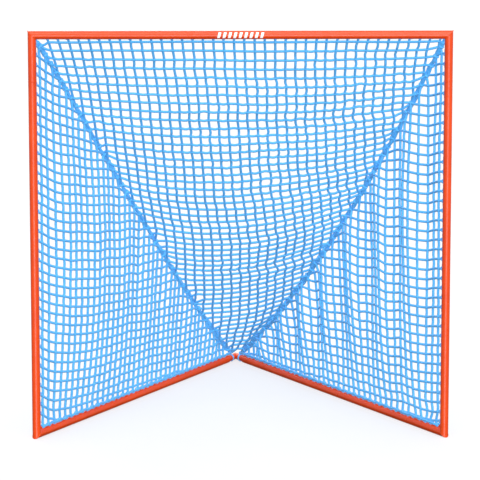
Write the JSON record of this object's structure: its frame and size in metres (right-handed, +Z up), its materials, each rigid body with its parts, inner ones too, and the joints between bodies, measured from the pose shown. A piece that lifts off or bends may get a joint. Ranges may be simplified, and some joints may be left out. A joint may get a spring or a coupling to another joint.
{
  "type": "field lacrosse goal with net",
  "caption": "Square-mouthed goal of round steel tube with a V-shaped ground frame and a laced, pyramid-shaped cord net.",
  "frame": {"origin": "on the ground, at the middle of the goal's plan", "axes": "+Z up, +Y from the mouth to the back of the net, +X to the right of someone facing the mouth"},
  "size_m": [1.905, 1.7284, 1.8669],
  "materials": {
    "frame_paint": "gloss orange powder coat",
    "plated_steel": "zinc plated",
    "spring_steel": "bare spring steel",
    "net_cord": "braided light-blue polyester cord",
    "lacing_cord": "braided light-blue lacing cord",
    "mark_print": "plain white print, no lettering"
  },
  "bodies": {
    "goal": {"crossbar": "frame_paint", "crossbar_mark": "mark_print", "crossbar_lacing_loops": "frame_paint", "crossbar_lacing_cord": "lacing_cord", "net_top_panel": "net_cord", "left_corner_leg": "frame_paint", "left_post_spigot": "plated_steel", "left_post": "frame_paint", "left_ground_rail": "frame_paint", "left_foot_gusset": "frame_paint", "left_back_connector_leg": "frame_paint", "left_post_button_spring": "spring_steel", "left_rail_button_spring": "spring_steel", "left_post_lacing_loops": "frame_paint", "left_post_lacing_cord": "lacing_cord", "left_rail_lacing_loops": "frame_paint", "left_rail_lacing_cord": "lacing_cord", "left_seam_cord": "lacing_cord", "net_left_side": "net_cord", "right_corner_leg": "frame_paint", "right_post_spigot": "plated_steel", "right_post": "frame_paint", "right_ground_rail": "frame_paint", "right_foot_gusset": "frame_paint", "right_back_connector_leg": "frame_paint", "right_post_button_spring": "spring_steel", "right_rail_button_spring": "spring_steel", "right_post_lacing_loops": "frame_paint", "right_post_lacing_cord": "lacing_cord", "right_rail_lacing_loops": "frame_paint", "right_rail_lacing_cord": "lacing_cord", "right_seam_cord": "lacing_cord", "net_right_side": "net_cord"},
    "left_post_button": {"left_post_button": "plated_steel"},
    "left_rail_button": {"left_rail_button": "plated_steel"},
    "right_post_button": {"right_post_button": "plated_steel"},
    "right_rail_button": {"right_rail_button": "plated_steel"}
  },
  "joints": [
    {"name": "left_post_button_press", "type": "slide", "parent": "goal", "child": "left_post_button", "axis": [0.7071, -0.7071, 0], "range_m": [0, 0.0065], "stiffness_N_per_m": 1500, "springref_m": -0.004, "deforming": ["left_post_button_spring"]},
    {"name": "left_rail_button_press", "type": "slide", "parent": "goal", "child": "left_rail_button", "axis": [0.8737, -0.4865, 0], "range_m": [0, 0.0065], "stiffness_N_per_m": 1500, "springref_m": -0.004, "deforming": ["left_rail_button_spring"]},
    {"name": "right_post_button_press", "type": "slide", "parent": "goal", "child": "right_post_button", "axis": [-0.7071, -0.7071, 0], "range_m": [0, 0.0065], "stiffness_N_per_m": 1500, "springref_m": -0.004, "deforming": ["right_post_button_spring"]},
    {"name": "right_rail_button_press", "type": "slide", "parent": "goal", "child": "right_rail_button", "axis": [-0.8737, -0.4865, 0], "range_m": [0, 0.0065], "stiffness_N_per_m": 1500, "springref_m": -0.004, "deforming": ["right_rail_button_spring"]}
  ]
}
